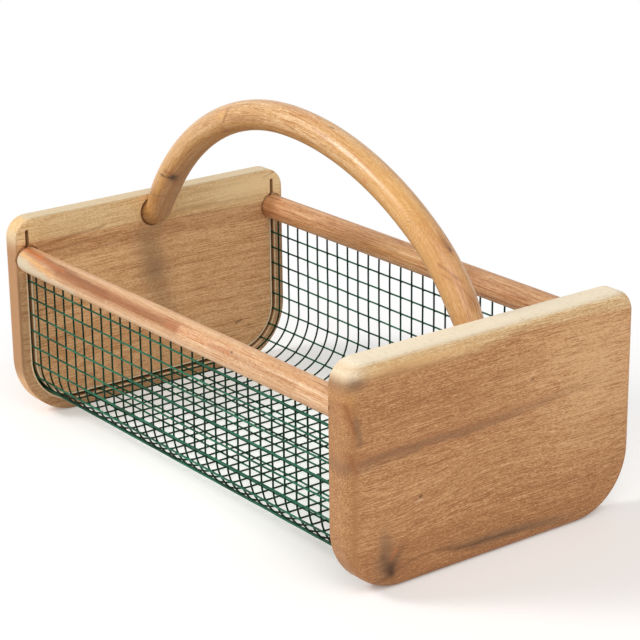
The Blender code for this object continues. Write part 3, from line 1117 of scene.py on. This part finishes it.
# Green coating
def green_coating(name, light, dark):
    """Thick glossy paint on wire, thinner and darker in places."""
    recipe = Recipe(bpy.data.materials.new(name))
    place = recipe.node("TexCoord", output="Object")
    cloud = recipe.noise(place, (0.03, 0.03, 0.03), detail=3.0)
    grain = recipe.noise(place, (0.0006, 0.0006, 0.0006), detail=2.0)
    colour = recipe.mixed(cloud.rise(0.3, 0.7), dark, light)
    colour = recipe.mixed(grain.rise(0.62, 0.8) * 0.35, colour, (0.02, 0.20, 0.10))
    normal = recipe.node("Bump", values={"Strength": 0.25, "Distance": 0.00008, "Height": grain})
    rough = 0.32 + (cloud - 0.5) * 0.2
    return recipe.shade(Base_Color=colour, Roughness=rough, Normal=normal, Specular_IOR_Level=0.12)


# Pieces
def place_piece(name, mesh, material, node, smooth_angle=35):
    """A finished piece in place of its CAD node."""
    piece = add_object(name, mesh)
    mesh.materials.clear()
    mesh.materials.append(material)
    mesh.shade_smooth()
    mesh.set_sharp_from_angle(angle=math.radians(smooth_angle))
    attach(piece, "root")
    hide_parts(node)
    return piece


def even_shading(piece):
    """Flat faces stay flat next to rounded edges."""
    modifier = piece.modifiers.new("even shading", "WEIGHTED_NORMAL")
    modifier.keep_sharp = True


def grain_of(mesh, order, origin):
    """Grain for a straight piece: which axes run along, to the side and up, from an origin."""
    store_grain(mesh, [
        tuple((point.co[axis] - origin[axis]) * millimetres for axis in order) for point in mesh.vertices
    ])


def add_boards():
    for name, node, turn, x, front, material in (
        ("left_end_board_wood", "left_end_board", math.pi, -face_x, 1, left_board_wood()),
        ("right_end_board_wood", "right_end_board", 0, face_x, -1, right_board_wood()),
    ):
        mesh = end_board_mesh(front)
        mesh.transform(Matrix.Translation((x, 0, 0)) @ Matrix.Rotation(turn, 4, "Z"))
        grain_of(mesh, (1, 0, 2), (x, 0, 0))
        even_shading(place_piece(name, mesh, material, node))


def add_rails():
    blank = rail_mesh()
    for name, node, y, material in (
        ("front_rail_wood", "front_rail", -net_y, front_rail_wood()),
        ("back_rail_wood", "back_rail", net_y, back_rail_wood()),
    ):
        mesh = blank.copy()
        mesh.transform(Matrix.Translation((0, y, rail_z)))
        grain_of(mesh, (0, 1, 2), (0, y, rail_z))
        even_shading(place_piece(name, mesh, material, node))


def add_handle():
    place_piece("handle_wood", handle_mesh(), handle_wood(), "handle")


def add_net():
    rows, bends = net_rows()
    # The lengthwise wires' coat is a little lighter, partly painted light from above; the bent wires get a
    # darker copy of it, painted shade.
    coat = green_coating("green coating", (0.026, 0.185, 0.100), (0.004, 0.060, 0.028))
    painted_shade_coat = green_coating("green coating on bent wires in painted shade", (0.004, 0.045, 0.022), (0.002, 0.018, 0.009))
    straight = skin("lengthwise wires", *[wire_rings(lengthwise_line(row)) for row in rows])
    bent = skin("bent wires", *[wire_rings(bent_line(x)) for x in bends])
    for name, mesh, paint in (
        ("net_lengthwise_wires", straight, coat),
        ("net_bent_wires", bent, painted_shade_coat),
        ("net_weld_beads", weld_beads(rows, bends), coat),
    ):
        place_piece(name, mesh, paint, "wire_net", smooth_angle=60)


# Floor and light
floor_size = 14.0
floor_colour = (0.90, 0.882, 0.870)
floor_lift = (0.14, 0.14, 0.14)
# Painted light: a further camera-seen lift under the net, which lightens the net's shadow on the floor
# there.
painted_light_under_net = (0.42, 0.46, 0.43)
painted_light_middle, painted_light_size = (-0.02, 0.01, 0), (0.18, 0.15, 1)
white_round, white_start, white_whole = (0.075, -0.057, 0), 0.25, 0.50
lamp_distance, lamp_aim = 2.4, Vector((0, 0, 0.1))
world_strength = 0.48


def seen_directly(recipe):
    """1 where the camera, a shine or a clear piece looks at it, and 0 for light that falls on things."""
    camera = recipe.node("LightPath", output="Is Camera Ray")
    return camera.at_least(camera.output("Is Glossy Ray")).at_least(camera.output("Is Transmission Ray"))


def add_floor():
    """A plain pale floor that goes to white away from the hod and keeps its shadow, with painted light
    under the net that lightens the floor there.
    """
    half = floor_size / 2
    corners = [(-half, -half, 0), (half, -half, 0), (half, half, 0), (-half, half, 0)]
    mesh = mesh_of("floor", corners, [(0, 1, 2, 3)])
    floor = add_object("floor", mesh)
    recipe = Recipe(bpy.data.materials.new("floor"))
    place = recipe.node("TexCoord", output="Object")
    seen = seen_directly(recipe)
    # Painted light under the net, where the floor's shadow is lightened.
    painted_light_share = recipe.blot(place, painted_light_middle, painted_light_size) * seen
    lift = recipe.mixed(seen, (0, 0, 0), floor_lift)
    recipe.shade(
        Base_Color=(*floor_colour, 1), Roughness=1.0, Specular_IOR_Level=0.0,
        Emission_Color=recipe.mixed(painted_light_share, lift, painted_light_under_net), Emission_Strength=1.0,
    )
    recipe.whiten(recipe.far(place, white_round).rise(white_start, white_whole) * seen, "Emission")
    mesh.materials.append(recipe.owner)


def add_lamp(name, direction, size, power):
    """A soft square lamp, aimed at the hod from a direction."""
    lamp = add_object(name, bpy.data.lights.new(name, "AREA"))
    lamp.data.size = size
    lamp.data.energy = power
    toward = Vector(direction).normalized()
    lamp.location = toward * lamp_distance + lamp_aim
    lamp.rotation_euler = toward.to_track_quat("Z", "Y").to_euler()


def add_light():
    """Three soft lamps and an even pale world, which itself shows plain white."""
    add_lamp("key", (-0.45, -0.68, 0.64), size=0.8, power=22)
    add_lamp("spark", (-0.45, -0.68, 0.60), size=0.25, power=5)
    add_lamp("fill", (0.75, -0.30, 0.80), size=1.8, power=23)
    recipe = Recipe(bpy.data.worlds.new("studio"))
    recipe.shade(Color=(1, 1, 1, 1), Strength=world_strength)
    recipe.whiten(seen_directly(recipe), "Background")
    bpy.context.scene.world = recipe.owner


bpy.context.scene.view_settings.view_transform = "Standard"
add_camera()
add_boards()
add_rails()
add_handle()
add_net()
add_floor()
add_light()
